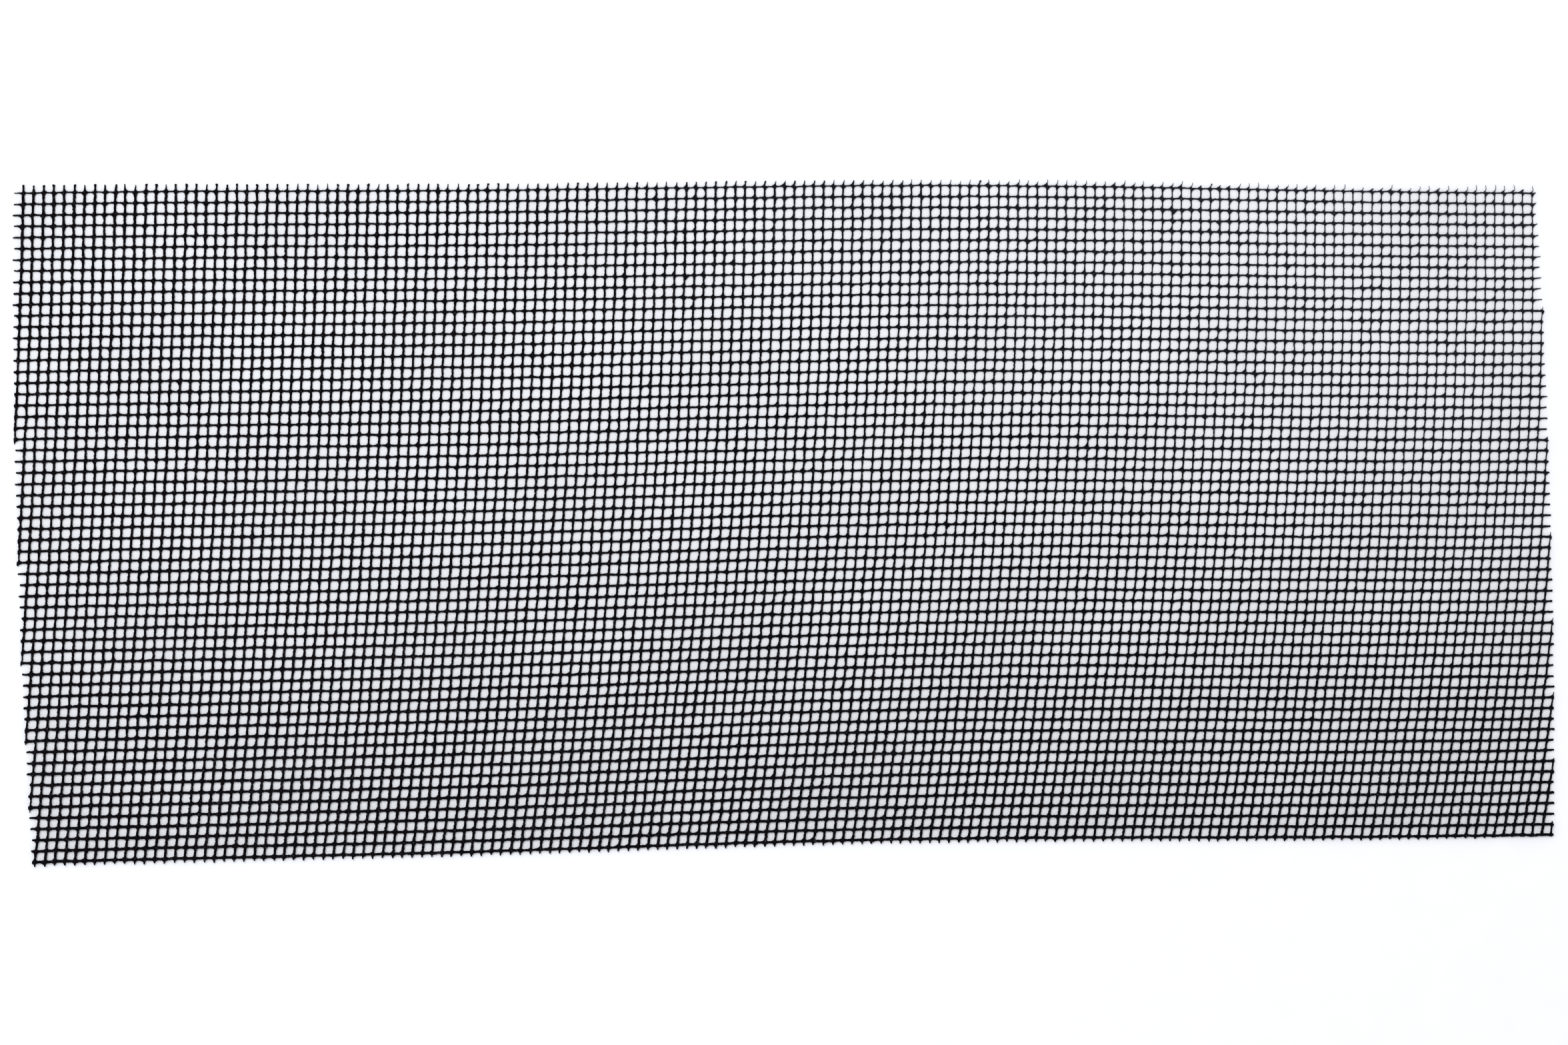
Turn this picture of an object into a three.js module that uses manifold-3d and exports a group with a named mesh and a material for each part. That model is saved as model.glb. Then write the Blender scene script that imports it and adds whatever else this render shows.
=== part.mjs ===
// Queen excluder: a cut piece of coated open-weave netting, laid flat.
// Workers pass its cells and the queen doesn't, so the clear way through a cell sets every size.
//
// Millimetres. +X runs along the wefts, +Y along the warps and +Z up. The origin is under the middle
// of the piece, on the surface that it lies on. The wefts form the lower layer and the warps the
// upper one. Neighbouring strands are held in bundles by short ties, each hidden where a strand of
// the other layer crosses.
import * as THREE from 'three'
import { mergeVertices } from 'three/addons/utils/BufferGeometryUtils.js'
import Module from 'manifold-3d'

const wasm = await Module()
wasm.setup()

// ---- The cut piece ----
const CUT_WIDTH = 819 // between the cut sides, at mid-height
const WEFT_SPAN = 351 // from the first weft to the last
const TOP_TAIL = 3.5 // a warp's free end above the first weft
const BOTTOM_TAIL = 1.6 // a warp's free end below the last weft
const CUT_SLANT = 4.8 // how far each side leans left from mid-height to the top
const CUT_BOW = 3.3 // how far each side draws in towards its two ends

// ---- The weave ----
const CELL_WIDTH = 4.24 // clear way between two warps: passes a worker, stops a queen
const CELL_HEIGHT = 4.65 // clear way between two wefts
const WARP_WIDTH = 1.0
const WEFT_WIDTH = 1.2
const WARP_THICKNESS = 0.7
const WEFT_THICKNESS = 0.7
const LAYER_GAP = 0.3 // between the wefts' upper face and the warps' lower face
const MIDDLE_WARP_X = 14.2 // how far the middle warp stands right of the cut piece's middle

// ---- How the soft piece lies: drifts in mm, stated at these distances from its middle ----
const REACH_X = 424
const REACH_Y = 175.5
const WARP_CROWDING = -8.1 // the warps stand closer together towards the right
const WARP_LEAN = 13.0 // the warps' heads stand right of their middles, their feet left
const WARP_LEAN_SIDES = -1.7 // and lean a little less towards both sides
const WARP_BOW = -5.8 // both ends of a warp bend left
const WARP_BOW_RIGHT = -2.7 // and bend further in the right half
const WARP_SPREAD = 1.2 // the warps open out towards the top
const WEFT_TILT = 4.4 // the wefts climb to the right
const WEFT_ARCH = -3.7 // and drop towards both sides
const WEFT_FAN = -4.0 // and close up towards the right
const WEFT_LIFT = 0.55 // the first and last wefts lie a little high
const WEFT_CLOSING = -1.1 // and the rows near them stand closer together
const CLOSING_FREE = 0.7 // while the middle rows open out by this share of it
const WAVE_HEIGHT = 0.84
const WAVE_LENGTH = 500
const WAVE_START = 0.7 // radians

// ---- Bundles ----
const WARP_BUNDLES = 41
const WEFT_BUNDLES = 16
const TIE_SPARE = 0.2 // how much narrower and thinner a tie is than the strands around it
const WARP_STEPS = 4 // straight runs that follow a warp's bend
const WEFT_STEPS = 7

const warpPitch = CELL_WIDTH + WARP_WIDTH
const weftPitch = CELL_HEIGHT + WEFT_WIDTH
const warpFloor = WEFT_THICKNESS + LAYER_GAP

// Where the laid piece puts a point that lies s to the right and t above the middle of the flat cloth.
function laid(s, t) {
  const across = s / REACH_X
  const up = t / REACH_Y
  const lean = (WARP_LEAN + WARP_SPREAD * across + WARP_LEAN_SIDES * across ** 2) * up
  const bow = (WARP_BOW + WARP_BOW_RIGHT * across) * up ** 2
  const wave = WAVE_HEIGHT * Math.sin((2 * Math.PI * s) / WAVE_LENGTH + WAVE_START)
  const rise = WEFT_TILT * across + WEFT_ARCH * across ** 2 + WEFT_FAN * across * up
  const rows = WEFT_LIFT * up ** 2 + WEFT_CLOSING * (up ** 3 - CLOSING_FREE * up)
  return new THREE.Vector2(
    MIDDLE_WARP_X + s + WARP_CROWDING * across ** 2 + lean + bow,
    t + rise + wave + rows
  )
}

// The cut side's x at a height: side is -1 on the left and 1 on the right.
function cutX(side, y) {
  const up = y / REACH_Y
  return side * (CUT_WIDTH / 2 - CUT_BOW * up ** 2) - CUT_SLANT * up
}

function insideCut(point) {
  return point.x > cutX(-1, point.y) && point.x < cutX(1, point.y)
}

// How far right on the flat cloth a weft at height t meets a cut side.
function reachOfWeft(side, t) {
  let s = (side * CUT_WIDTH) / 2
  for (let round = 0; round < 6; round += 1) {
    const point = laid(s, t)
    s += cutX(side, point.y) - point.x
  }
  return s
}

function evenly(from, to, steps) {
  return Array.from({ length: steps + 1 }, (_, step) => from + ((to - from) * step) / steps)
}

// A flat strand of one width along a bent centre line.
function strandGeometry(line, width, thickness, floor) {
  const left = []
  const right = []
  line.forEach((point, index) => {
    const before = line[Math.max(index - 1, 0)]
    const after = line[Math.min(index + 1, line.length - 1)]
    const sideways = after.clone().sub(before).normalize().rotateAround(new THREE.Vector2(), Math.PI / 2)
    left.push(point.clone().addScaledVector(sideways, width / 2))
    right.push(point.clone().addScaledVector(sideways, -width / 2))
  })
  const outline = new THREE.Shape([...right, ...left.reverse()])
  const geometry = new THREE.ExtrudeGeometry(outline, { depth: thickness, bevelEnabled: false })
  return geometry.translate(0, 0, floor)
}

function toSolid(geometry) {
  const bare = geometry.index ? geometry.toNonIndexed() : geometry.clone()
  bare.deleteAttribute('normal')
  bare.deleteAttribute('uv')
  const merged = mergeVertices(bare, 1e-5)
  return new wasm.Manifold(
    new wasm.Mesh({
      numProp: 3,
      vertProperties: new Float32Array(merged.attributes.position.array),
      triVerts: new Uint32Array(merged.index.array)
    })
  )
}

function toGeometry(solid) {
  const mesh = solid.getMesh()
  const geometry = new THREE.BufferGeometry()
  geometry.setAttribute('position', new THREE.BufferAttribute(mesh.vertProperties, 3))
  geometry.setIndex(new THREE.BufferAttribute(mesh.triVerts, 1))
  geometry.computeVertexNormals()
  return geometry
}

// ---- The strands ----
const weftCount = Math.round(WEFT_SPAN / weftPitch) + 1
const topWeft = ((weftCount - 1) * weftPitch) / 2
const weftHeights = evenly(topWeft, -topWeft, weftCount - 1)
const lastRow = weftCount - 1
const wefts = weftHeights.map((t) => ({ t, from: reachOfWeft(-1, t), to: reachOfWeft(1, t) }))

// A warp keeps the stretch that lies inside the cut. Where it leans across a cut side, it ends half a
// cell past the last weft that it crosses there.
function warpAt(s) {
  const rows = [...weftHeights.keys()].filter((row) => insideCut(laid(s, weftHeights[row])))
  const first = rows[0]
  const last = rows[rows.length - 1]
  const top = weftHeights[first] + (first === 0 ? TOP_TAIL : weftPitch / 2)
  const bottom = weftHeights[last] - (last === lastRow ? BOTTOM_TAIL : weftPitch / 2)
  return { s, first, last, top, bottom }
}

// More warps are tried than the cut width holds, because the drifts bring some in across its sides.
const mostDrift = MIDDLE_WARP_X + WARP_LEAN + Math.abs(WARP_CROWDING) + Math.abs(WARP_BOW)
const eachSide = Math.ceil((CUT_WIDTH / 2 + mostDrift) / warpPitch)
const warps = evenly(-eachSide * warpPitch, eachSide * warpPitch, 2 * eachSide)
  .map(warpAt)
  .filter((warp) => warp.last > warp.first)
const wholeWarps = warps.filter((warp) => warp.first === 0 && warp.last === lastRow)

function warpGeometry(warp) {
  const line = evenly(warp.bottom, warp.top, WARP_STEPS).map((t) => laid(warp.s, t))
  return strandGeometry(line, WARP_WIDTH, WARP_THICKNESS, warpFloor)
}

function weftGeometry(weft) {
  const line = evenly(weft.from, weft.to, WEFT_STEPS).map((s) => laid(s, weft.t))
  return strandGeometry(line, WEFT_WIDTH, WEFT_THICKNESS, 0)
}

// ---- The ties ----
// A tie between two warps lies straight above a weft that both cross.
function warpTies(warp, next) {
  const first = Math.max(warp.first, next.first)
  const last = Math.min(warp.last, next.last)
  const thickness = WARP_THICKNESS - TIE_SPARE
  return [...new Set([first, last])].map((row) => {
    const line = [laid(warp.s, weftHeights[row]), laid(next.s, weftHeights[row])]
    return strandGeometry(line, WEFT_WIDTH - TIE_SPARE, thickness, warpFloor + TIE_SPARE / 2)
  })
}

// A tie between two wefts lies straight under a warp that runs the whole height.
function weftTies(weft, next) {
  const thickness = WEFT_THICKNESS - TIE_SPARE
  return [wholeWarps[0], wholeWarps[wholeWarps.length - 1]].map((warp) => {
    const line = [laid(warp.s, weft.t), laid(warp.s, next.t)]
    return strandGeometry(line, WARP_WIDTH - TIE_SPARE, thickness, TIE_SPARE / 2)
  })
}

// ---- The bundles ----
function bundleMesh(name, strands, strandShape, tieShapes, colour) {
  const ties = strands.slice(1).flatMap((strand, index) => tieShapes(strands[index], strand))
  const pieces = [...strands.map(strandShape), ...ties].map(toSolid)
  const solid = pieces.reduce((whole, piece) => whole.add(piece))
  const coating = new THREE.MeshStandardMaterial({ color: colour, roughness: 0.62, metalness: 0 })
  const mesh = new THREE.Mesh(toGeometry(solid), coating)
  mesh.name = name
  return mesh
}

// Shares the strands out over a number of bundles, as evenly as whole strands allow.
function bundled(strands, bundles) {
  return Array.from({ length: bundles }, (_, index) =>
    strands.slice(
      Math.round((index * strands.length) / bundles),
      Math.round(((index + 1) * strands.length) / bundles)
    )
  )
}

const twoDigits = (index) => String(index + 1).padStart(2, '0')

const netting = new THREE.Group()
bundled(warps, WARP_BUNDLES).forEach((strands, index) => {
  netting.add(bundleMesh(`warp_strands_${twoDigits(index)}`, strands, warpGeometry, warpTies, '#15151b'))
})
bundled(wefts, WEFT_BUNDLES).forEach((strands, index) => {
  netting.add(bundleMesh(`weft_strands_${twoDigits(index)}`, strands, weftGeometry, weftTies, '#111116'))
})

// The origin goes under the middle of the whole piece.
const box = new THREE.Box3().setFromObject(netting)
const middle = box.getCenter(new THREE.Vector3())
netting.position.set(-middle.x, -middle.y, 0)

export default netting
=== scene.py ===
"""A queen excluder cut from coated open-weave netting, laid flat on pale paper under soft light.

It is shaped after a leno weave, taken as likely, in which each warp is a pair of yarns that twists
around every weft. Here each pair is one closed tube and its twist is only a bump in the coating. Warps
and wefts lie at one height and run through each other where they cross, which stands for the coating
that fuses them. Webs fill the corners. Sizes are in millimetres until a mesh is made, in metres.
"""

import logging  # noqa: E402
import math  # noqa: E402
from collections.abc import Mapping  # noqa: E402
from dataclasses import dataclass, field  # noqa: E402
from enum import Enum  # noqa: E402
from typing import Any  # noqa: E402

import bpy  # noqa: E402
import numpy as np  # noqa: E402
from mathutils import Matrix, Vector  # noqa: E402


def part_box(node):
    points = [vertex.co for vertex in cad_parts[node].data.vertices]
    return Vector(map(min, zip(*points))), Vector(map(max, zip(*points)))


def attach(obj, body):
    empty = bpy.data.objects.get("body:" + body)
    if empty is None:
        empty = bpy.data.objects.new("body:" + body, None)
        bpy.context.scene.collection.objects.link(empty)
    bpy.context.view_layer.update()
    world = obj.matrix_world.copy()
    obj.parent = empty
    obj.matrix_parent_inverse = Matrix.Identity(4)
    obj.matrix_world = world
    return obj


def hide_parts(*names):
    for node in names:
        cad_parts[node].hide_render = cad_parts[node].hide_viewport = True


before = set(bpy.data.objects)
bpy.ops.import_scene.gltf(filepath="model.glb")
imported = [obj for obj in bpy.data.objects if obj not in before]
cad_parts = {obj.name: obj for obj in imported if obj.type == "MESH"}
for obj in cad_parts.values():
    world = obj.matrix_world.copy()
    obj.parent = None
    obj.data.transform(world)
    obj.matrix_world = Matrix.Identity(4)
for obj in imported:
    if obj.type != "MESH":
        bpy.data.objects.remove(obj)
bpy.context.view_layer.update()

LOG = logging.getLogger("queen_excluder")
MM = 0.001
YARN_MAP = "YarnMap"
FILLET_FILL = 0.2146  # of radius squared: what a round fillet fills of a square corner
FILLET_REACH = 0.293  # of its radius: how far a fillet stands out on the corner's diagonal


# ---- Nodes and colours ----


def linear(colour: str) -> tuple[float, float, float, float]:
    """Turns an sRGB hex colour into linear light.

    Args:
        colour: six hex digits with a leading #.

    Returns:
        Red, green, blue and a full alpha.
    """
    parts = [int(colour[place : place + 2], 16) / 255 for place in (1, 3, 5)]
    lit = [c / 12.92 if c <= 0.04045 else ((c + 0.055) / 1.055) ** 2.4 for c in parts]
    return (lit[0], lit[1], lit[2], 1.0)


def add_node(
    tree: bpy.types.NodeTree,
    kind: str,
    settings: Mapping[str, Any] | None = None,
    values: Mapping[str | int, Any] | None = None,
    links: Mapping[str | int, bpy.types.NodeSocket] | None = None,
) -> bpy.types.Node:
    """Adds one shader node.

    Args:
        tree: the node tree that takes it.
        kind: the node's type, without the leading ShaderNode.
        settings: its own properties.
        values: what its unlinked inputs are set to, by name or place.
        links: the sockets that feed its inputs, by name or place.

    Returns:
        The new node.
    """
    node = tree.nodes.new("ShaderNode" + kind)
    for name, value in (settings or {}).items():
        setattr(node, name, value)
    for place, value in (values or {}).items():
        node.inputs[place].default_value = value
    for place, socket in (links or {}).items():
        tree.links.new(socket, node.inputs[place])
    return node


def new_material(name: str) -> tuple[bpy.types.Material, bpy.types.NodeTree]:
    """Makes an empty node material.

    Args:
        name: what the material is called.

    Returns:
        The material and its cleared node tree.
    """
    material = bpy.data.materials.new(name)
    material.use_nodes = True
    material.node_tree.nodes.clear()
    return material, material.node_tree


# ---- How the cloth lies ----


@dataclass(frozen=True)
class Lay:
    """Where each point of the flat cloth ends up when the soft piece is laid down, in millimetres.

    Each drift is stated at reach_x or reach_y from the middle of the piece. The drifts are fitted to
    where the real piece's crossings lie, and their names only say what each term does.
    """

    reach_x: float = 424.0
    reach_y: float = 175.5
    middle_x: float = 14.2
    crowding: float = -8.1
    lean: float = 13.0
    lean_sides: float = -1.7
    bow: float = -5.8
    bow_right: float = -2.7
    spread: float = 1.2
    tilt: float = 4.4
    arch: float = -3.7
    fan: float = -4.0
    lift: float = 0.55
    closing: float = -1.1
    closing_free: float = 0.7
    wave_height: float = 0.84
    wave_length: float = 500.0
    wave_start: float = 0.7
    loft: float = 0.8
    buckle: float = 0.12
    buckle_length: float = 150.0
    shift: tuple[float, float] = (0.0, 0.0)

    def place(self, s: np.ndarray | float, t: np.ndarray | float) -> np.ndarray:
        """Places points of the flat cloth.

        Args:
            s: how far right of the cloth's middle each point lies.
            t: how far above it.

        Returns:
            One row of x and y for each point.
        """
        s, t = np.broadcast_arrays(np.asarray(s, float), np.asarray(t, float))
        across, up = s / self.reach_x, t / self.reach_y
        lean = (self.lean + self.spread * across + self.lean_sides * across**2) * up
        bow = (self.bow + self.bow_right * across) * up**2
        wave = self.wave_height * np.sin(2 * np.pi * s / self.wave_length + self.wave_start)
        rise = self.tilt * across + self.arch * across**2 + self.fan * across * up
        rows = self.lift * up**2 + self.closing * (up**3 - self.closing_free * up)
        x = self.middle_x + s + self.crowding * across**2 + lean + bow + self.shift[0]
        return np.stack([x, t + rise + wave + rows + self.shift[1]], axis=-1)

    def height(self, points: np.ndarray) -> np.ndarray:
        """Gives how far the cloth stands off the floor: a guess, set by how dark the cells look.

        Args:
            points: laid x and y, one row each.

        Returns:
            The height of each point, never below zero.
        """
        x, y = points[..., 0], points[..., 1]
        down = (0.5 - 0.5 * y / self.reach_y).clip(0.0, None)
        ripple = np.sin(2 * np.pi * x / self.buckle_length) * np.sin(2 * np.pi * y / self.buckle_length + 1.0)
        return self.loft * down**2 + self.buckle * (1 + ripple)


@dataclass(frozen=True)
class Cut:
    """The outline that the scissors left, in millimetres."""

    width: float = 819.0
    slant: float = 4.8
    bow: float = 3.3
    reach_y: float = 175.5

    def side_x(self, side: int, y: np.ndarray | float) -> np.ndarray | float:
        """Gives a cut side's x at a height; side is -1 on the left and 1 on the right."""
        up = y / self.reach_y
        return side * (self.width / 2 - self.bow * up**2) - self.slant * up

    def holds(self, points: np.ndarray) -> np.ndarray:
        """Says which points lie between the two cut sides."""
        x, y = points[..., 0], points[..., 1]
        return (x > self.side_x(-1, y)) & (x < self.side_x(1, y))


class Corner(Enum):
    """The four corners of a crossing, seen from above with the warp upright."""

    UPPER_LEFT = 0
    UPPER_RIGHT = 1
    LOWER_LEFT = 2
    LOWER_RIGHT = 3


class CutEnd(Enum):
    """How the scissors and the handling left the end of a yarn."""

    BLUNT = "cut square, its edge rounded by the coating"
    SPLAYED = "crushed wider where the blades closed"
    POINTED = "cut across and drawn out to a point"
    FORKED = "the two yarns of a pair sprung apart"
    CLAW = "torn off short, a hooked remnant with a last hair"


@dataclass(frozen=True)
class FreeEnd:
    """A yarn's end from its last crossing to its tip, in millimetres; width is a share of the yarn's."""

    reach: float = 0.45
    width: float = 1.0
    power: float = 1.0
    lean: float = 0.0
    bend: float = 1.4
    waist: float = 0.0
    prongs: tuple[tuple[float, float, float], ...] = ()

    def share(self, past: np.ndarray) -> np.ndarray:
        """Gives how much of the way to the tip lies behind each distance past the crossing."""
        return (past / self.reach).clip(0.0, 1.0)

    def narrowed(self, past: np.ndarray) -> np.ndarray:
        """Gives the share of the yarn's width that is left at each distance."""
        share = self.share(past)
        return (1 + (self.width - 1) * share**self.power) * (1 - self.waist * np.sin(np.pi * share))

    def leaned(self, past: np.ndarray) -> np.ndarray:
        """Gives how far sideways each distance stands."""
        return self.lean * self.share(past) ** self.bend


# ---- The weave ----


@dataclass
class Weave:
    """The netting's pattern: where yarns cross, how wide they are and how the coating webs them.

    The coefficients of the widths and webs are fitted to how these vary over the real piece.
    """

    lay: Lay = field(default_factory=Lay)
    cut: Cut = field(default_factory=Cut)
    warp_pitch: float = 5.24
    weft_pitch: float = 5.85
    weft_count: int = 61
    most_drift: float = 41.1
    top_tail: float = 3.5
    bottom_tail: float = 1.6
    tail_reach: float = 3.2
    tail_reach_left: float = 1.0
    stub_reach: float = 2.45
    warp_gain: float = 1.11
    weft_gain: float = 1.06
    slim_right: float = 0.2
    jitter: float = 0.105
    web_noise: float = 0.28
    web_extra: float = 0.06
    lump_share: float = 0.004
    lump_size: float = 1.6
    most_jitter: float = 0.25
    film_place: tuple[float, float] = (371.3, 21.9)
    film_radius: float = 2.4
    thin_rows: tuple[float, float] = (0.8, 0.92)
    seed: int = 7

    def __post_init__(self) -> None:
        """Lays out the rows and tries every warp that the cut may hold."""
        top = (self.weft_count - 1) * self.weft_pitch / 2
        self.rows = np.linspace(top, -top, self.weft_count)
        each_side = math.ceil((self.cut.width / 2 + self.most_drift) / self.warp_pitch)
        tried = np.arange(-each_side, each_side + 1) * self.warp_pitch
        # The cut is made in the frame of the flat formula, before the whole piece is shifted.
        grid = self.lay.place(tried[:, None], self.rows[None, :]) - np.array(self.lay.shift)
        held = self.cut.holds(grid)
        kept = [w for w in range(len(tried)) if held[w].sum() > 1]
        self.warps = tried[kept]
        self.held = held[kept]
        self._settle()

    def _settle(self) -> None:
        """Draws every crossing's small displacement and the radius of its four webs."""
        dice = np.random.default_rng(self.seed)
        shape = (len(self.warps), len(self.rows))
        self.offset = dice.normal(0.0, self.jitter, (*shape, 2)).clip(-self.most_jitter, self.most_jitter)
        points = self.points()
        u, v = self.fields(points)
        webs = np.stack([self.web_area(corner, u, v) for corner in Corner], axis=-1)
        noise = dice.normal(1.0, self.web_noise, webs.shape).clip(0.5, 1.5)
        self.web_radius = np.sqrt((webs + self.web_extra).clip(0.02, None) / FILLET_FILL) * noise
        self.web_radius[dice.uniform(size=webs.shape) < self.lump_share] *= self.lump_size
        # One cell still holds a torn film of coating in its upper right corner.
        away = np.linalg.norm(points - np.array(self.film_place), axis=-1)
        filmed = np.unravel_index(away.argmin(), away.shape)
        self.web_radius[(*filmed, Corner.LOWER_LEFT.value)] = self.film_radius

    def points(self) -> np.ndarray:
        """Gives the place of every crossing, warp by warp and row by row."""
        return self.lay.place(self.warps[:, None], self.rows[None, :]) + self.offset

    def fields(self, points: np.ndarray) -> tuple[np.ndarray, np.ndarray]:
        """Gives how far right and how far up points lie, as shares of the piece's half size."""
        return points[..., 0] / self.lay.reach_x, points[..., 1] / self.lay.reach_y

    def warp_width(self, u: np.ndarray, v: np.ndarray) -> np.ndarray:
        """Gives the width of a warp between two crossings, thinner towards the upper right."""
        wide = 1.0 - 0.29 * u - 0.17 * v - 0.19 * u * v + 0.106 * v**2 + 0.17 * u**3
        slim = 1 - self.slim_right * u.clip(0.0, 1.0) * (0.5 + 0.5 * v).clip(0.0, 1.0)
        return wide * self.warp_gain * slim

    def weft_width(self, u: np.ndarray, v: np.ndarray) -> np.ndarray:
        """Gives the width of a weft between two crossings, thicker towards the bottom."""
        wide = 1.116 - 0.068 * u - 0.247 * v + 0.083 * u**2 + 0.05 * u**3
        return wide * self.weft_gain

    @staticmethod
    def web_area(corner: Corner, u: np.ndarray, v: np.ndarray) -> np.ndarray:
        """Gives how much of a crossing's corner the coating fills, in square millimetres.

        Args:
            corner: which of the four corners.
            u: how far right the crossing lies, from -1 to 1.
            v: how far up it lies.

        Returns:
            The area of the web.
        """
        if corner is Corner.UPPER_LEFT:
            return 0.32 + 0.21 * u + 0.14 * v + 0.19 * u * v - 0.14 * u**2 - 0.11 * u**3
        if corner is Corner.UPPER_RIGHT:
            return 0.05 - 0.05 * u * v + 0.064 * u**2 - 0.15 * u**3
        if corner is Corner.LOWER_LEFT:
            return 0.18 + 0.055 * u + 0.083 * v + 0.04 * v**2 - 0.16 * u**3
        return 0.18 + 0.2 * u + 0.165 * v + 0.127 * u * v + 0.077 * v**2 - 0.139 * u**3

    @staticmethod
    def shares(kind: str, count: int) -> list[tuple[str, int, int]]:
        """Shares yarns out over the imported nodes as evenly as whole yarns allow.

        Args:
            kind: warp or weft.
            count: how many yarns there are.

        Returns:
            For each node its name, its first yarn and the one after its last.
        """
        nodes = sorted(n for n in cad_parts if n.startswith(f"{kind}_strands_"))
        edges = [math.floor(i * count / len(nodes) + 0.5) for i in range(len(nodes) + 1)]
        return list(zip(nodes, edges[:-1], edges[1:], strict=True))

    def end_of_row(self, side: int, t: float) -> float:
        """Gives how far right on the flat cloth a weft at height t meets a cut side."""
        s = side * self.cut.width / 2
        for _ in range(6):
            x, y = self.lay.place(s, t) - np.array(self.lay.shift)
            s += float(self.cut.side_x(side, y) - x)
        return s


# ---- Yarns as closed tubes ----


class TubeMesh:
    """Gathers closed tubes of smooth yarn into one mesh."""

    SIDES = 6

    def __init__(self) -> None:
        """Starts with no tubes."""
        self.points: list[np.ndarray] = []
        self.quads: list[np.ndarray] = []
        self.maps: list[np.ndarray] = []
        self.caps: list[np.ndarray] = []
        self.cap_maps: list[np.ndarray] = []
        self.total = 0

    def add(
        self,
        line: np.ndarray,
        left: np.ndarray,
        right: np.ndarray,
        thick: np.ndarray,
    ) -> None:
        """Adds one closed tube.

        Args:
            line: the centre line, one row of x, y and z in millimetres for each ring.
            left: how far each ring reaches to the left of the line, looking along it.
            right: how far it reaches to the right.
            thick: half of its height.
        """
        along = np.gradient(line[:, :2], axis=0)
        along /= np.linalg.norm(along, axis=1, keepdims=True)
        sideways = np.stack([-along[:, 1], along[:, 0]], axis=1)
        angles = 2 * np.pi * np.arange(self.SIDES) / self.SIDES
        cos, sin = np.cos(angles), np.sin(angles) / math.sin(math.pi / 3)
        reach = np.where(cos > 0, left[:, None], right[:, None]) * cos
        rings = np.repeat(line[:, None, :], self.SIDES, axis=1)
        rings[:, :, :2] += sideways[:, None, :] * reach[:, :, None]
        rings[:, :, 2] += thick[:, None] * sin
        count = len(line)
        index = self.total + np.arange(count * self.SIDES).reshape(count, self.SIDES)
        turned = np.roll(index, -1, axis=1)
        quads = np.stack([index[:-1], turned[:-1], turned[1:], index[1:]], axis=-1)
        steps = np.linalg.norm(np.diff(line, axis=0), axis=1)
        run = np.concatenate([[0.0], np.cumsum(steps)]) * MM
        turn = np.arange(self.SIDES) / self.SIDES
        low, high = np.meshgrid(run[:-1], turn, indexing="ij"), run[1:, None]
        start, here = low
        after = here + 1 / self.SIDES
        far = np.broadcast_to(high, start.shape)
        corners = [(start, here), (start, after), (far, after), (far, here)]
        self.points.append(rings.reshape(-1, 3))
        self.quads.append(quads.reshape(-1, 4))
        self.maps.append(np.stack([np.stack(c, axis=-1) for c in corners], axis=-2).reshape(-1, 4, 2))
        self.caps.append(np.stack([index[0][::-1], index[-1]]))
        for end, order in ((run[0], turn[::-1]), (run[-1], turn)):
            self.cap_maps.append(np.stack([np.full(self.SIDES, end), order], axis=-1)[None])
        self.total += count * self.SIDES

    def to_object(self, name: str) -> bpy.types.Object:
        """Makes the Blender object, in metres, smooth and with the yarn map.

        Args:
            name: the object's name.

        Returns:
            The object, linked to the scene.
        """
        points = np.concatenate(self.points) * MM
        quads, caps = np.concatenate(self.quads), np.concatenate(self.caps)
        loops = np.concatenate([quads.ravel(), caps.ravel()]).astype(np.int32)
        starts = np.concatenate([
            np.arange(len(quads)) * 4,
            len(quads) * 4 + np.arange(len(caps)) * self.SIDES,
        ]).astype(np.int32)
        maps = np.concatenate([
            np.concatenate(self.maps).reshape(-1, 2),
            np.concatenate(self.cap_maps).reshape(-1, 2),
        ])
        mesh = bpy.data.meshes.new(name)
        mesh.vertices.add(len(points))
        mesh.vertices.foreach_set("co", points.astype(np.float32).ravel())
        mesh.loops.add(len(loops))
        mesh.loops.foreach_set("vertex_index", loops)
        mesh.polygons.add(len(starts))
        mesh.polygons.foreach_set("loop_start", starts)
        mesh.polygons.foreach_set("use_smooth", np.ones(len(starts), dtype=bool))
        mesh.update(calc_edges=True)
        mesh.validate()
        layer = mesh.uv_layers.new(name=YARN_MAP)
        layer.data.foreach_set("uv", maps.astype(np.float32).ravel())
        piece = bpy.data.objects.new(name, mesh)
        bpy.context.scene.collection.objects.link(piece)
        return piece


def fillet(away: np.ndarray, edge: np.ndarray, radius: np.ndarray) -> np.ndarray:
    """Gives how far a round web stands out from a yarn's side.

    Args:
        away: how far along the yarn from the middle of the crossing.
        edge: half the width of the yarn that it crosses.
        radius: the web's radius.

    Returns:
        The web's reach, held at its value on the diagonal, where the other yarn takes it over.
    """
    inside = (radius - (away - edge)).clip(0.0, None)
    inside = np.minimum(inside, radius)
    reach = radius - np.sqrt((radius**2 - inside**2).clip(0.0, None))
    return np.minimum(reach, FILLET_REACH * radius)


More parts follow.
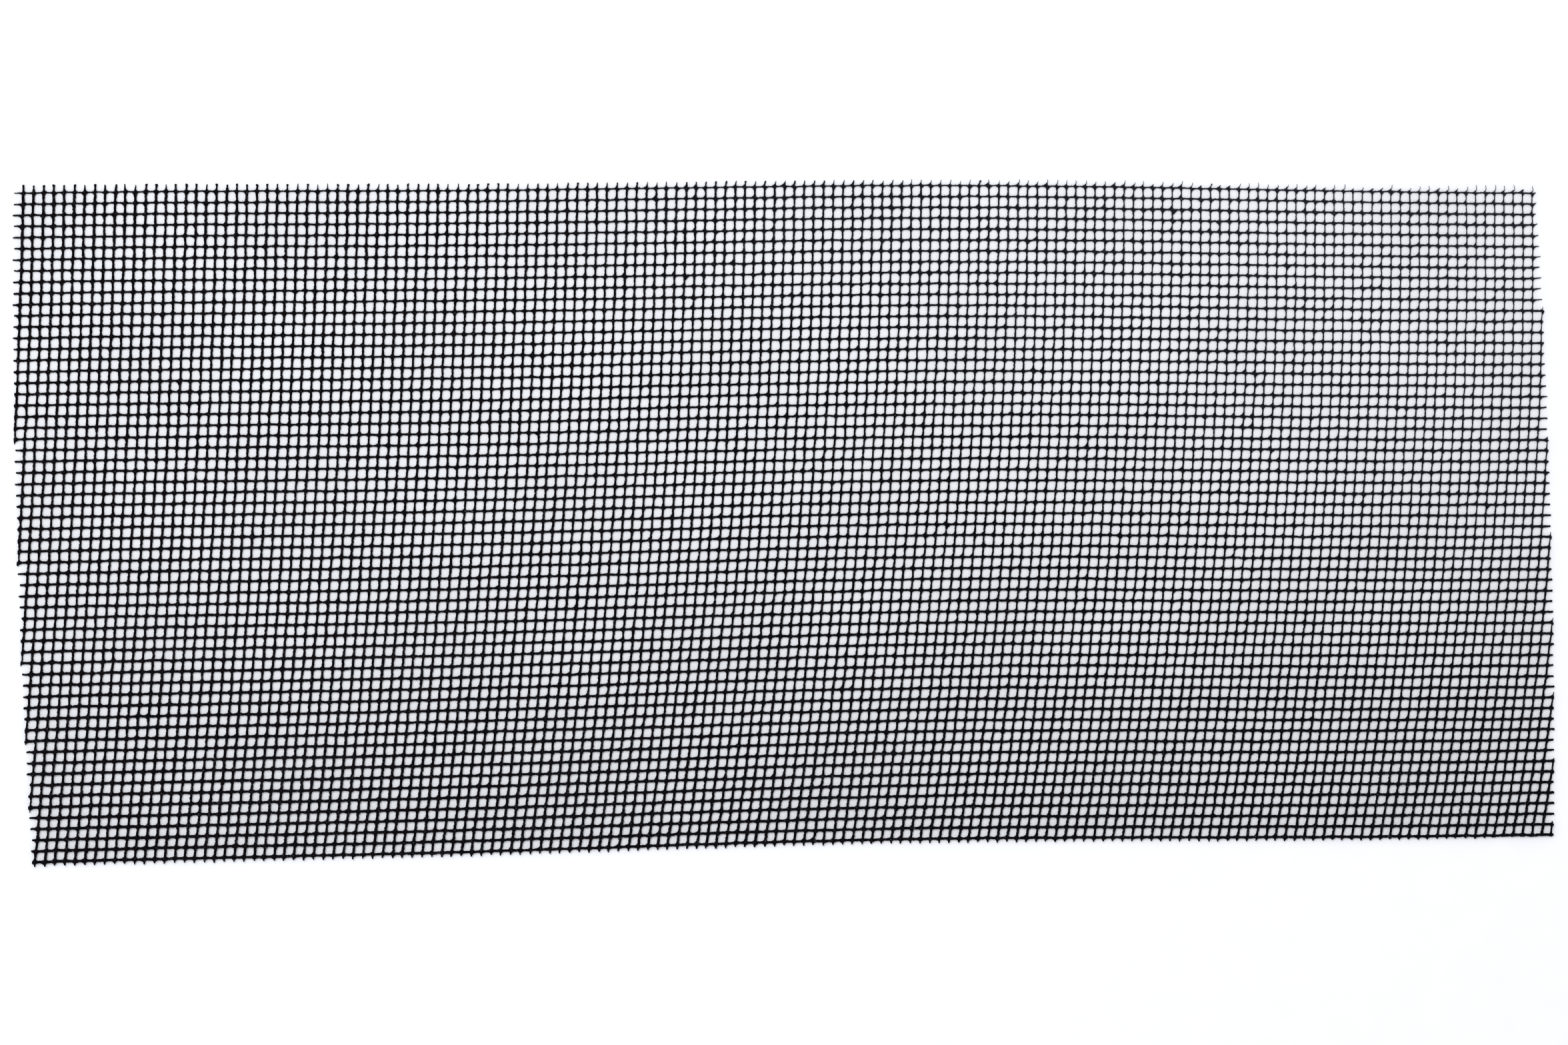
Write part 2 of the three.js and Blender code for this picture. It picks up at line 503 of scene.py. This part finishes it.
@dataclass
class Yarn:
    """One strand of the netting, with the crossings that lie along it.

    Places along the yarn are millimetres of the flat cloth: t for a warp and s for a weft.
    """

    weave: Weave
    crossings: np.ndarray
    drift: np.ndarray
    half: np.ndarray
    crossed: np.ndarray
    webs: np.ndarray
    tail: FreeEnd
    head: FreeEnd
    dice: np.random.Generator
    centre_z: float = 0.92
    thin: float = 0.42
    knuckle: float = 0.42
    usual_half: float = 0.52
    width_noise: float = 0.09
    sway: float = 0.05
    twist: float = 0.05
    round_end: float = 0.32
    tip_share: float = 0.35
    sway_free: float = 2.6
    knuckle_spread: float = 1.15
    side_axis: int = 1

    @property
    def start(self) -> float:
        """The place of the yarn's first tip."""
        return float(self.crossings[0]) - self.tail.reach

    @property
    def end(self) -> float:
        """The place of the yarn's last tip."""
        return float(self.crossings[-1]) + self.head.reach

    def stations(self) -> np.ndarray:
        """Gives the places along the yarn that get a ring, closer together around each crossing."""
        wide = self.webs.max(axis=2)
        places = [self.crossings]
        for side, sign in ((0, -1.0), (1, 1.0)):
            for share in (FILLET_REACH, 0.6, 1.0):
                places.append(self.crossings + sign * (self.crossed + share * wide[:, side]))
        middles = (self.crossings[1:] + self.crossings[:-1]) / 2
        places += [middles - 0.6, middles, middles + 0.6]
        for end, sign, tip in ((0, -1.0, self.tail), (-1, 1.0, self.head)):
            places.append(self.crossings[end] + sign * tip.reach * np.array([0.25, 0.45, 0.65, 0.82]))
        places = np.sort(np.concatenate(places))
        inside = (places > self.start + 1.4 * self.round_end) & (places < self.end - 1.4 * self.round_end)
        ends = self.round_end * np.array([0.0, 0.35, 1.0])
        places = np.concatenate([self.start + ends, places[inside], self.end - ends[::-1]])
        return places[np.concatenate([[True], np.diff(places) > 0.06])]

    def reaches(self, places: np.ndarray) -> tuple[np.ndarray, np.ndarray, np.ndarray]:
        """Gives the yarn's reach to the left and right and half its thickness at each place.

        Args:
            places: where along the yarn, in rising order.

        Returns:
            The left reach, the right reach and half the thickness.
        """
        between = (self.crossings[1:] + self.crossings[:-1]) / 2
        near = np.searchsorted(between, places)
        away = places - self.crossings[near]
        edge = self.crossed[near]
        narrowed = self.tail.narrowed(self.crossings[0] - places)
        narrowed = narrowed * self.head.narrowed(places - self.crossings[-1])
        base = np.interp(places, self.crossings, self.half) * narrowed
        inward = (0.5 + 0.5 * away / edge).clip(0.0, 1.0)
        sides = []
        for hand in (0, 1):
            before = fillet(np.abs(away), edge, self.webs[near, 0, hand])
            after = fillet(np.abs(away), edge, self.webs[near, 1, hand])
            uneven = 1 + self.dice.normal(0.0, self.width_noise, len(places))
            sides.append(base * uneven + before * (1 - inward) + after * inward)
        fade = np.exp(-((away / (edge * self.knuckle_spread)) ** 2))
        thick = (self.thin + (self.knuckle - self.thin) * fade) * (0.45 + 0.55 * base / self.usual_half)
        turn = np.pi * np.arange(len(places)) / 4 + self.dice.uniform(0, np.pi)
        swell = 1 + self.twist * np.cos(turn)
        return sides[0] * swell, sides[1] * swell, thick / swell * narrowed.clip(0.5, 1.0)

    def shape_ends(self, places: np.ndarray, size: np.ndarray) -> np.ndarray:
        """Rounds a size down towards both cut ends."""
        out = size.copy()
        for end in (self.start, self.end):
            share = (np.abs(places - end) / self.round_end).clip(0.0, 1.0)
            out *= self.tip_share + (1 - self.tip_share) * np.sqrt(1 - (1 - share) ** 2)
        return out

    def flat(self, places: np.ndarray) -> np.ndarray:
        """Gives the laid x and y of each place; each kind of yarn has its own."""
        raise NotImplementedError

    def line(self, places: np.ndarray) -> np.ndarray:
        """Gives the yarn's centre line, which follows its crossings and sways between them."""
        xy = self.course(places)
        away = np.abs(places[:, None] - self.crossings[None, :]).min(axis=1)
        loose = (away / self.sway_free).clip(0.0, 1.0)
        xy += self.dice.normal(0.0, self.sway, xy.shape) * loose[:, None]
        return self.lofted(xy)

    def course(self, places: np.ndarray) -> np.ndarray:
        """Gives x and y through the crossings and out to both tips, without the sway."""
        xy = self.flat(places)
        for axis in (0, 1):
            xy[:, axis] += np.interp(places, self.crossings, self.drift[:, axis])
        xy[:, self.side_axis] += self.tail.leaned(self.crossings[0] - places)
        xy[:, self.side_axis] += self.head.leaned(places - self.crossings[-1])
        return xy

    def lofted(self, xy: np.ndarray) -> np.ndarray:
        """Adds each point's height to its laid x and y."""
        return np.concatenate([xy, (self.centre_z + self.weave.lay.height(xy))[:, None]], axis=1)

    def build(self, into: TubeMesh) -> None:
        """Adds the yarn to a mesh."""
        places = self.stations()
        left, right, thick = self.reaches(places)
        left, right = self.shape_ends(places, left), self.shape_ends(places, right)
        thick = self.shape_ends(places, thick)
        into.add(self.line(places), left, right, thick)

    def add_fibre(self, into: TubeMesh, place: float, angle: float, length: float, width: float) -> None:
        """Adds a filament end that stands out of the yarn's side.

        Args:
            into: the mesh that takes it.
            place: where along the yarn it stands.
            angle: which way it points seen from above, anticlockwise from +X.
            length: how far it reaches past the yarn's side.
            width: half its width at the root.
        """
        half = float(np.interp(place, self.crossings, self.half)) * 0.6
        root = self.lofted(self.course(np.array([place])))[0]
        away = np.array([math.cos(angle), math.sin(angle), 0.0])
        share = np.array([0.0, 1.0])
        line = root + away * (half * 0.5 + (length + half) * share[:, None])
        line[:, 2] += self.dice.uniform(-0.15, 0.15) * share
        sizes = width * np.array([1.3, 0.45])
        into.add(line, sizes, sizes, sizes)


@dataclass
class Weft(Yarn):
    """A yarn that runs straight across, through every warp pair."""

    t: float = 0.0
    fringe: float = 0.0
    fringe_spacing: float = 0.42

    def flat(self, places: np.ndarray) -> np.ndarray:
        """Gives the laid x and y of places along the row."""
        return self.weave.lay.place(places, self.t)

    def build(self, into: TubeMesh) -> None:
        """Adds the weft and the lint that stands on its upper side to a mesh."""
        super().build(into)
        if self.fringe <= 0:
            return
        places = np.arange(self.start + 0.8, self.end - 0.8, self.fringe_spacing)
        places += self.dice.normal(0.0, 0.15, len(places))
        for place in places[self.dice.uniform(size=len(places)) < self.fringe]:
            angle = math.pi / 2 + self.dice.normal(0.0, 0.3)
            self.add_fibre(into, place, angle, self.dice.uniform(0.15, 0.6), self.dice.uniform(0.06, 0.11))


@dataclass
class Warp(Yarn):
    """A strand that runs up the netting: one tube, which stands for a twisted pair."""

    s: float = 0.0
    nub_share: float = 0.17
    side_axis: int = 0

    def flat(self, places: np.ndarray) -> np.ndarray:
        """Gives the laid x and y of places up the warp."""
        return self.weave.lay.place(self.s, places)

    def build(self, into: TubeMesh) -> None:
        """Adds the warp with its prongs and its nubs to a mesh."""
        super().build(into)
        for reach, width, aside in self.head.prongs:
            self.add_prong(into, reach, width, aside)
        middles = (self.crossings[1:] + self.crossings[:-1]) / 2
        for middle in middles[self.dice.uniform(size=len(middles)) < self.nub_share]:
            place = middle + self.dice.uniform(-1.5, 1.3)
            angle = self.dice.uniform(-0.7, 0.9) + (math.pi if self.dice.uniform() < 0.3 else 0.0)
            length = 0.08 + 0.6 * self.dice.uniform() ** 3
            self.add_fibre(into, place, angle, length, self.dice.uniform(0.08, 0.15))

    def add_prong(self, into: TubeMesh, reach: float, width: float, aside: float) -> None:
        """Adds one of the last filaments, which leaves the end of the yarn and runs on past it.

        Args:
            into: the mesh that takes it.
            reach: how far its tip stands above the last crossing.
            width: half its width at the root.
            aside: how far right of the yarn's own tip its tip stands.
        """
        share = np.array([0.0, 0.2, 0.4, 0.6, 0.78, 0.92, 1.0])
        root = self.head.reach * 0.55
        past = root + (reach - root) * share
        xy = self.course(self.crossings[-1] + past)
        xy[:, 0] += aside * share**1.6 + self.dice.normal(0.0, 0.03, len(share)) * share
        half = width * (1 - 0.35 * share)
        half[-1] *= 0.5
        into.add(self.lofted(xy), half, half, np.minimum(half, self.thin))


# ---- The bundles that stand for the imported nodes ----


@dataclass
class YarnBundle:
    """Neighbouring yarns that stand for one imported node."""

    name: str
    node: str
    slot: str
    yarns: list[Yarn]
    pitch: float
    nominal_width: float = 1.0

    def build(self) -> bpy.types.Object:
        """Makes the bundle's mesh.

        Returns:
            The piece, in place.
        """
        tubes = TubeMesh()
        for yarn in self.yarns:
            yarn.build(tubes)
        self.piece = tubes.to_object(self.name)
        return self.piece

    def dress(self, material: bpy.types.Material) -> None:
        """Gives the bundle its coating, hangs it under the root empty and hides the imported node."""
        self.piece.data.materials.append(material)
        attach(self.piece, "root")
        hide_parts(self.node)

    def declare(self) -> None:
        """Does nothing."""


@dataclass
class Netting:
    """The whole cut piece: every warp and weft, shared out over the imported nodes."""

    weave: Weave
    warp_knuckle: float = 0.72
    warp_unevenness: float = 0.12
    fringe: float = 0.85
    fringed_rows: int = 8
    seed: int = 11

    def warp(self, number: int) -> Warp:
        """Makes one warp, cut to the stretch that the outline leaves of it.

        Args:
            number: its place from the left.

        Returns:
            The warp, from its lowest crossing to its highest.
        """
        weave = self.weave
        rows = np.flatnonzero(weave.held[number])[::-1]
        dice = np.random.default_rng((self.seed, 1, number))
        points = weave.points()[number, rows]
        u, v = weave.fields(points)
        half = weave.warp_width(u, v) / 2 * (1 + dice.normal(0, 0.07, len(rows)))
        webs = self.webs(number, rows, ((2, 3), (0, 1)))
        spare = weave.weft_pitch / 2
        tail = FreeEnd(spare * dice.uniform(0.55, 1.0), 0.6, 1.0, dice.normal(0.0, 0.2))
        head = FreeEnd(spare * dice.uniform(0.55, 1.0), 0.5, 1.0, dice.normal(0.0, 0.2))
        # The yarn thins over the last two cells before a cut side.
        if rows[-1] != 0:
            half[-2:] *= (0.86, 0.68)
        if rows[0] != len(weave.rows) - 1:
            half[:2] *= (0.68, 0.86)
        if rows[-1] == 0:
            head = self.tail_end(self.tail_kind(float(u[-1]), dice), float(u[-1]), half[-1], dice)
        if rows[0] == len(weave.rows) - 1:
            reach = weave.stub_reach - 2.0 * max(0.0, float(u[0]) - 0.35) ** 1.5
            reach *= 1.0 if rows[-1] == 0 else 0.45
            tail = FreeEnd(max(reach, 0.9) * dice.uniform(0.9, 1.08), 0.55, 1.2, dice.normal(0.05, 0.13), 2.0)
        return Warp(
            weave, weave.rows[rows], weave.offset[number, rows], half,
            weave.weft_width(u, v) / 2, webs, tail, head, dice,
            knuckle=self.warp_knuckle, width_noise=self.warp_unevenness, s=float(weave.warps[number]),
        )

    def webs(self, warps: Any, rows: Any, order: tuple[tuple[int, int], tuple[int, int]]) -> np.ndarray:
        """Gives the web radii along a yarn as crossing, before or after, and left or right hand."""
        radius = self.weave.web_radius[warps, rows]
        return np.stack([radius[:, list(order[0])], radius[:, list(order[1])]], axis=1)

    @staticmethod
    def tail_kind(u: float, dice: np.random.Generator) -> CutEnd:
        """Chooses how a warp's top end looks: upright at the left, torn to claws at the right.

        Args:
            u: how far right of the middle the warp stands, from -1 to 1.
            dice: the warp's own random numbers.

        Returns:
            The kind of end.
        """
        draw = dice.uniform()
        if u > 0.15:
            return CutEnd.SPLAYED if draw < 0.09 * (u < 0.62) else CutEnd.CLAW
        splayed, forked = (0.4, 0.55) if u < -0.5 else (0.2, 0.28)
        if draw < splayed:
            return CutEnd.SPLAYED
        if draw < forked:
            return CutEnd.FORKED
        return CutEnd.BLUNT if draw < 0.6 else CutEnd.POINTED

    def tail_end(self, kind: CutEnd, u: float, half: float, dice: np.random.Generator) -> FreeEnd:
        """Shapes a warp's end above the first weft.

        Args:
            kind: how it was left.
            u: how far right of the middle the warp stands.
            half: half the warp's width there.
            dice: the warp's own random numbers.

        Returns:
            The end.
        """
        full = (self.weave.tail_reach - self.weave.tail_reach_left * u) * dice.uniform(0.94, 1.06)
        lean = dice.normal(0.1 + 0.75 * max(0.0, u + 0.5), 0.14)
        if kind is CutEnd.SPLAYED:
            return FreeEnd(full, dice.uniform(0.9, 1.35), 4.0, lean, waist=0.3)
        if kind is CutEnd.BLUNT:
            return FreeEnd(full, dice.uniform(0.55, 0.8), 0.7, lean, waist=0.1)
        if kind is CutEnd.POINTED:
            return FreeEnd(full, dice.uniform(0.25, 0.45), 0.7, lean)
        if kind is CutEnd.FORKED:
            spread = dice.uniform(0.16, 0.3)
            prongs = tuple((full * dice.uniform(0.9, 1.04), half * 0.6, hand * spread) for hand in (-1, 1))
            return FreeEnd(full * 0.55, 0.85, 1.0, lean * 0.5, 1.4, prongs=prongs)
        reach = max(1.9, 3.1 - 2.4 * (u - 0.15)) * dice.uniform(0.88, 1.12)
        hair = dice.uniform(4.1, 4.6) if u > 0.87 else dice.uniform(2.2, 3.9)
        prongs = ((hair, 0.2, dice.normal(-0.1, 0.2)),) if dice.uniform() < 0.8 and hair > reach else ()
        return FreeEnd(reach, 0.2, 0.42, lean * dice.uniform(0.5, 0.9), 1.8, prongs=prongs)

    def weft(self, row: int) -> Weft:
        """Makes one weft.

        Args:
            row: its place from the top.

        Returns:
            The weft, from the left cut to the right one.
        """
        weave = self.weave
        numbers = np.flatnonzero(weave.held[:, row])
        dice = np.random.default_rng((self.seed, 2, row))
        points = weave.points()[numbers, row]
        u, v = weave.fields(points)
        half = weave.weft_width(u, v) / 2 * (1 + dice.normal(0, 0.035, len(numbers)))
        webs = self.webs(numbers, row, ((0, 2), (1, 3)))
        t = float(weave.rows[row])
        if row < len(weave.thin_rows):
            half *= weave.thin_rows[row]
        left = max(0.8, float(weave.warps[numbers[0]]) - weave.end_of_row(-1, t) + dice.normal(0, 0.25))
        right = max(0.8, weave.end_of_row(1, t) - float(weave.warps[numbers[-1]]) + dice.normal(0, 0.25))
        drawn = float(v[-1].clip(0.0, 1.0))
        tail = FreeEnd(left, dice.uniform(0.65, 0.95), 1.0, dice.normal(0.05, 0.12), 2.0)
        head = FreeEnd(right, 0.85 - 0.55 * drawn, 1.0, dice.normal(0.1 + 0.5 * drawn, 0.1), 2.0)
        return Weft(
            weave, weave.warps[numbers], weave.offset[numbers, row], half,
            weave.warp_width(u, v) / 2, webs, tail, head, dice,
            t=t, fringe=self.fringe * max(0.0, 1 - row / self.fringed_rows),
        )

    def bundles(self) -> list[YarnBundle]:
        """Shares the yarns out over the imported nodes.

        Returns:
            One bundle for each node, warps first.
        """
        out = []
        kinds = (
            ("warp", len(self.weave.warps), self.warp, self.weave.warp_pitch),
            ("weft", len(self.weave.rows), self.weft, self.weave.weft_pitch),
        )
        for kind, count, make, pitch in kinds:
            for node, first, last in self.weave.shares(kind, count):
                yarns = [make(number) for number in range(first, last)]
                name = node.replace("strands", "yarns")
                out.append(YarnBundle(name, node, f"{kind}_coating", yarns, pitch))
        return out


# ---- Finishes ----


@dataclass(frozen=True)
class CoatedYarnFinish:
    """Satin black over a visible twist, taken to be soft vinyl on polyester yarn.

    The tint drifts across the piece to match its tone. What causes the drifts isn't known. On top of it,
    light is painted in: a paler, bluer upper right corner, paler knuckle tops and pale glint specks.
    """

    name: str
    coat: str = "#040307"
    cool: str = "#030509"
    warm: str = "#080407"
    # Painted highlight on the knuckle tops.
    painted_knuckle_highlight: str = "#1b1a20"
    # Painted light: the upper right corner made paler and bluer.
    painted_pale_corner: str = "#1d1f28"
    # Painted glints, as pale specks.
    painted_glint: str = "#55545c"
    lay_length: float = 2.4
    plies: int = 2
    grain: float = 0.22
    drift: float = 7.0
    # Size of the painted glint specks.
    glint_size: float = 0.7
    ridge_height: float = 0.05
    roughness: float = 0.58
    specular: float = 0.022
    side_drift: float = -0.3
    # Where the painted knuckle highlight starts above the loft, and how deep it fades in.
    highlight_height: float = 1.55
    highlight_depth: float = 1.3
    loft: float = Lay.loft
    reach_y: float = Lay.reach_y

    def material(self) -> bpy.types.Material:
        """Makes the coating's material.

        Returns:
            A node material whose pattern follows the yarn map.
        """
        material, tree = new_material(self.name)
        seen = add_node(tree, "UVMap", {"uv_map": YARN_MAP})
        split = add_node(tree, "SeparateXYZ", links={0: seen.outputs["UV"]})
        here = add_node(tree, "TexCoord").outputs["Object"]
        # The yarns are taken to turn once in a lay length, and the coating follows them as low ridges.
        along = add_node(
            tree, "Math", {"operation": "MULTIPLY"},
            {1: 2 * math.pi / (self.lay_length * MM)}, {0: split.outputs["X"]},
        )
        turn = add_node(
            tree, "Math", {"operation": "MULTIPLY_ADD"},
            {1: 2 * math.pi * self.plies}, {0: split.outputs["Y"], 2: along.outputs[0]},
        )
        ridge = add_node(tree, "Math", {"operation": "SINE"}, links={0: turn.outputs[0]})
        grain = self.noise(tree, here, self.grain, 3.0)
        height = add_node(
            tree, "Math", {"operation": "MULTIPLY_ADD"}, {1: 0.35},
            {0: ridge.outputs[0], 2: grain.outputs["Fac"]},
        )
        bump = add_node(
            tree, "Bump", values={"Strength": 0.7, "Distance": self.ridge_height * MM},
            links={"Height": height.outputs[0]},
        )
        # The black drifts between a bluish and a reddish one over a few cells, and bluer to the right.
        level = add_node(tree, "SeparateXYZ", links={0: here})
        drift = self.noise(tree, here, self.drift, 2.0)
        tint = add_node(
            tree, "Math", {"operation": "MULTIPLY_ADD"}, {1: self.side_drift},
            {0: level.outputs["X"], 2: drift.outputs["Fac"]},
        )
        hue = self.ramp(tree, tint.outputs[0], ((0.36, self.cool), (0.5, self.coat), (0.64, self.warm)))
        # The upper right corner, where the yarns are thinnest, is painted paler and bluer: painted light over
        # the coat's black.
        corner = add_node(
            tree, "VectorMath", {"operation": "DOT_PRODUCT"}, {1: (0.5 / 0.41, 0.5 / 0.18, 0.0)}, {0: here},
        )
        pale_corner_mask = add_node(
            tree, "MapRange", {"interpolation_type": "SMOOTHSTEP"}, {"From Min": 0.1, "From Max": 1.1},
            {"Value": corner.outputs["Value"]},
        )
        tint_and_pale_corner = add_node(
            tree, "Mix", {"data_type": "RGBA"}, {"B": linear(self.painted_pale_corner)},
            {"Factor": pale_corner_mask.outputs["Result"], "A": hue.outputs["Color"]},
        )
        # Above the loft of the cloth the tops are painted paler: a painted highlight where the knuckles stand
        # highest.
        down = add_node(
            tree, "Math", {"operation": "MULTIPLY_ADD", "use_clamp": True},
            {1: -0.5 / (self.reach_y * MM), 2: 0.5}, {0: level.outputs["Y"]},
        )
        squared = add_node(tree, "Math", {"operation": "POWER"}, {1: 2.0}, {0: down.outputs[0]})
        stood = add_node(
            tree, "Math", {"operation": "MULTIPLY_ADD"}, {1: -self.loft * MM},
            {0: squared.outputs[0], 2: level.outputs["Z"]},
        )
        highlit_tops_mask = add_node(
            tree, "MapRange", None,
            {"From Min": self.highlight_height * MM, "From Max": (self.highlight_height + self.highlight_depth) * MM},
            {"Value": stood.outputs[0]},
        )
        tops = add_node(
            tree, "Mix", {"data_type": "RGBA"}, {"B": linear(self.painted_knuckle_highlight)},
            {"Factor": highlit_tops_mask.outputs["Result"], "A": tint_and_pale_corner.outputs["Result"]},
        )
        # Pale specks well under a millimetre across are painted glints.
        glint_noise = self.noise(tree, here, self.glint_size, 1.5)
        caught = self.ramp(tree, glint_noise.outputs["Fac"], ((0.66, "#000000"), (0.74, "#ffffff")))
        colour = add_node(
            tree, "Mix", {"data_type": "RGBA"}, {"B": linear(self.painted_glint)},
            {"Factor": caught.outputs["Color"], "A": tops.outputs["Result"]},
        )
        rough = add_node(
            tree, "MapRange", values={"To Min": self.roughness - 0.1, "To Max": self.roughness + 0.14},
            links={"Value": grain.outputs["Fac"]},
        )
        coat = add_node(
            tree, "BsdfPrincipled", values={"IOR": 1.53, "Specular IOR Level": self.specular},
            links={
                "Base Color": colour.outputs["Result"],
                "Roughness": rough.outputs["Result"],
                "Normal": bump.outputs["Normal"],
            },
        )
        add_node(tree, "OutputMaterial", links={"Surface": coat.outputs[0]})
        return material

    @staticmethod
    def noise(
        tree: bpy.types.NodeTree, here: bpy.types.NodeSocket, size: float, detail: float
    ) -> bpy.types.Node:
        """Adds noise whose blobs are size millimetres across."""
        scale = 1 / (size * MM)
        return add_node(tree, "TexNoise", None, {"Scale": scale, "Detail": detail}, {"Vector": here})

    @staticmethod
    def ramp(
        tree: bpy.types.NodeTree, feed: bpy.types.NodeSocket, stops: tuple[tuple[float, str], ...]
    ) -> bpy.types.Node:
        """Adds a colour ramp through the given places and hex colours."""
        node = add_node(tree, "ValToRGB", links={"Fac": feed})
        bands = node.color_ramp.elements
        while len(bands) < len(stops):
            bands.new(0.5)
        for band, (place, colour) in zip(bands, stops, strict=True):
            band.position, band.color = place, linear(colour)
        return node


@dataclass(frozen=True)
class PaperFinish:
    """Matte white drawing paper, uncoated: nearly even, with a faint cloud of pulp."""

    name: str = "uncoated_white_paper"
    light: str = "#f8f9fc"
    dark: str = "#f3f4f8"
    cloud: float = 18.0

    def material(self) -> bpy.types.Material:
        """Makes the paper's material.

        Returns:
            A node material.
        """
        material, tree = new_material(self.name)
        here = add_node(tree, "TexCoord").outputs["Object"]
        pulp = add_node(tree, "TexNoise", values={"Scale": 1 / (self.cloud * MM)}, links={"Vector": here})
        colour = add_node(
            tree, "Mix", {"data_type": "RGBA"}, {"A": linear(self.dark), "B": linear(self.light)},
            {"Factor": pulp.outputs["Fac"]},
        )
        paper = add_node(
            tree, "BsdfPrincipled", values={"Roughness": 0.95, "Specular IOR Level": 0.1},
            links={"Base Color": colour.outputs["Result"]},
        )
        add_node(tree, "OutputMaterial", links={"Surface": paper.outputs[0]})
        return material


# ---- The studio ----


@dataclass
class Studio:
    """A wide sheet of pale paper, a large soft lamp overhead and a camera that looks straight down."""

    floor_radius: float = 14.0
    floor_sides: int = 48
    lamp_colour: str = "#fbfcff"
    sky_colour: str = "#fcfdff"
    sensor: float = 36.0
    lamp_size: float = 1.0
    lamp_place: tuple[float, float, float] = (-0.5, 0.6, 2.1)
    lamp_power: float = 20.5
    sky: float = 0.81
    lens: float = 85.0
    camera_height: float = 1.978
    aim: tuple[float, float] = (0.0, -0.0002)

    def build_floor(self) -> bpy.types.Object:
        """Makes the round floor as rings of quads.

        Returns:
            The floor, staged.
        """
        radii = self.floor_radius * np.array([0.05, 0.2, 0.5, 1.0])
        angles = np.linspace(0, 2 * np.pi, self.floor_sides, endpoint=False)
        points = [(0.0, 0.0, 0.0)]
        points += [(r * math.cos(a), r * math.sin(a), 0.0) for r in radii for a in angles]
        count = len(angles)
        faces = [(0, 1 + i, 1 + (i + 1) % count) for i in range(count)]
        for ring in range(len(radii) - 1):
            low, high = 1 + ring * count, 1 + (ring + 1) * count
            faces += [
                (low + i, high + i, high + (i + 1) % count, low + (i + 1) % count) for i in range(count)
            ]
        mesh = bpy.data.meshes.new("paper_floor")
        mesh.from_pydata(points, [], faces)
        mesh.materials.append(PaperFinish().material())
        floor = bpy.data.objects.new("paper_floor", mesh)
        bpy.context.scene.collection.objects.link(floor)
        return floor

    def light(self) -> None:
        """Hangs the lamp and sets the even light of the room."""
        lamp = bpy.data.lights.new("soft_lamp", "AREA")
        lamp.shape, lamp.size, lamp.energy = "DISK", self.lamp_size, self.lamp_power
        lamp.color = linear(self.lamp_colour)[:3]
        hung = bpy.data.objects.new("soft_lamp", lamp)
        hung.location = self.lamp_place
        hung.rotation_euler = Vector(self.lamp_place).to_track_quat("Z", "Y").to_euler()
        bpy.context.scene.collection.objects.link(hung)
        room = bpy.data.worlds.new("room")
        room.use_nodes = True
        room.node_tree.nodes.clear()
        glow = add_node(
            room.node_tree, "Background",
            values={"Color": linear(self.sky_colour), "Strength": self.sky},
        )
        add_node(room.node_tree, "OutputWorld", links={"Surface": glow.outputs[0]})
        bpy.context.scene.world = room

    def aim_camera(self) -> None:
        """Sets the camera over the middle of the netting."""
        camera = bpy.data.cameras.new("overhead_camera")
        camera.lens, camera.sensor_width = self.lens, self.sensor
        held = bpy.data.objects.new("overhead_camera", camera)
        held.location = (*self.aim, self.camera_height)
        bpy.context.scene.collection.objects.link(held)
        bpy.context.scene.camera = held
        bpy.context.scene.view_settings.view_transform = "Standard"


# ---- Putting it together ----


def cad_shift(weave: Weave) -> tuple[float, float]:
    """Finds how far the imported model's origin lies from the flat formula's.

    Args:
        weave: the weave, laid without a shift.

    Returns:
        The x and y that bring the formula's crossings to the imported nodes, in millimetres.
    """
    tail, stub = weave.top_tail, -weave.bottom_tail
    whole = weave.held.all(axis=1)
    shifts = []
    for kind, axis, count in (("warp", 0, len(weave.warps)), ("weft", 1, len(weave.rows))):
        found = []
        for node, first, last in weave.shares(kind, count):
            low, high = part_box(node)
            if kind == "warp":
                if not whole[first:last].all():
                    continue
                ends = np.linspace(weave.rows[-1] + stub, weave.rows[0] + tail, 5)
                lines = [weave.lay.place(s, ends) for s in weave.warps[first:last]]
            else:
                lines = []
                for t in weave.rows[first:last]:
                    across = np.linspace(weave.end_of_row(-1, t), weave.end_of_row(1, t), 8)
                    lines.append(weave.lay.place(across, t))
            part = np.concatenate(lines)[:, axis]
            found.append((low[axis] + high[axis]) / 2 / MM - (part.min() + part.max()) / 2)
        shifts.append(float(np.median(found)))
    return shifts[0], shifts[1]


def main() -> None:
    """Builds the netting and the studio, and reports each piece."""
    logging.basicConfig(level=logging.INFO, format="%(message)s")
    shift = cad_shift(Weave())
    weave = Weave(lay=Lay(shift=shift))
    LOG.info("the packed frame lies %.3f, %.3f mm from the formula's", *shift)
    LOG.info("%d warps and %d wefts", len(weave.warps), len(weave.rows))
    coatings = {
        "warp_coating": CoatedYarnFinish("vinyl_coated_warp_pair").material(),
        "weft_coating": CoatedYarnFinish("vinyl_coated_weft", plies=3, lay_length=3.1).material(),
    }
    for bundle in Netting(weave).bundles():
        piece = bundle.build()
        bundle.dress(coatings[bundle.slot])
        bundle.declare()
        LOG.info("%s: %d yarns, %d faces", piece.name, len(bundle.yarns), len(piece.data.polygons))
    studio = Studio()
    studio.build_floor()
    studio.light()
    studio.aim_camera()


if __name__ == "__main__":
    main()
